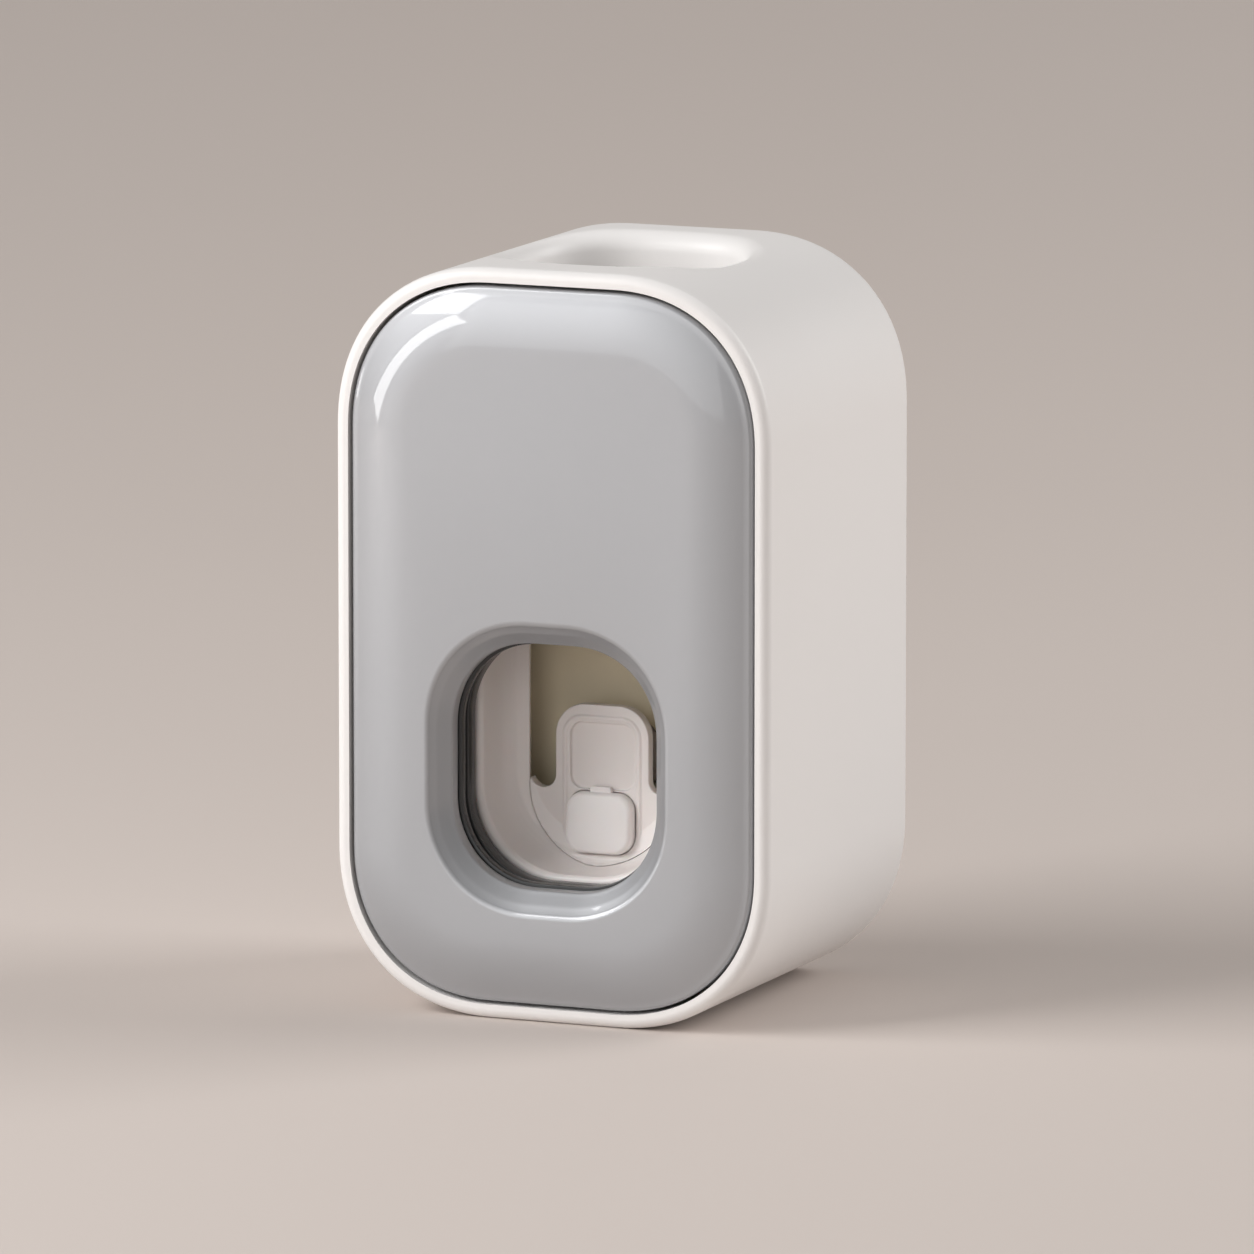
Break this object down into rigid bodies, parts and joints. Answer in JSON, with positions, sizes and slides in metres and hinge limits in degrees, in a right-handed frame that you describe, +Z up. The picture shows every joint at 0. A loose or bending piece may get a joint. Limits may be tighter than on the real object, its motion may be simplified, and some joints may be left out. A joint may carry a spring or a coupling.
{
  "type": "wall-mounted toothpaste dispenser",
  "caption": "Rounded upright dispenser with a domed front cover, a brush window with a push lever, a tube well on top and a wall bracket in its back.",
  "frame": {"origin": "middle of the underside, at the centre of the part's width and depth", "axes": "+Z up, the front cover faces -Y, +X to the right seen from the front"},
  "size_m": [0.064, 0.0538, 0.1036],
  "materials": {
    "white_shell": "satin moulded ABS",
    "grey_gloss": "high gloss moulded ABS",
    "dark_rubber": "smooth dark rubber",
    "warm_white": "semi gloss moulded plastic",
    "soft_white": "soft touch overmould",
    "cream_plastic": "satin moulded plastic",
    "silicone": "translucent silicone",
    "steel": "bright stainless steel",
    "foam_tape": "closed cell foam tape"
  },
  "bodies": {
    "housing": {"outer_shell": "white_shell", "inner_liner": "warm_white", "lever_pin": "steel", "core_chassis": "cream_plastic", "pump_body": "cream_plastic", "pump_diaphragm": "silicone", "return_spring": "steel", "pump_end_cap": "cream_plastic", "end_cap_seal": "dark_rubber", "inlet_valve": "silicone", "outlet_valve": "silicone", "outlet_nozzle": "warm_white", "tube_socket": "silicone", "socket_ring": "warm_white", "core_screw_1": "steel", "core_screw_2": "steel", "core_screw_3": "steel", "core_screw_4": "steel"},
    "cover": {"front_cover": "grey_gloss", "window_gasket": "dark_rubber"},
    "lever": {"push_lever": "warm_white", "push_pad": "soft_white"},
    "plunger": {"pump_plunger": "warm_white"},
    "bracket": {"wall_bracket": "white_shell", "adhesive_pad": "foam_tape"}
  },
  "joints": [
    {"name": "cover_pull", "type": "slide", "parent": "housing", "child": "cover", "axis": [0, -1, 0], "range_m": [0, 0.02]},
    {"name": "lever_push", "type": "hinge", "parent": "housing", "child": "lever", "pos_m": [0, -0.0026, 0.0226], "axis": [-1, 0, 0], "range_deg": [0, 12]},
    {"name": "plunger_stroke", "type": "slide", "parent": "housing", "child": "plunger", "axis": [0, 1, 0], "range_m": [0, 0.00224], "stiffness_N_per_m": 440, "deforming": ["return_spring", "pump_diaphragm"]},
    {"name": "bracket_lift", "type": "slide", "parent": "housing", "child": "bracket", "axis": [0, 0, -1], "range_m": [0, 0.01]}
  ],
  "couplings": [
    {"joint": "lever_push", "follows": "plunger_stroke", "rad_per_m": 93.45}
  ]
}
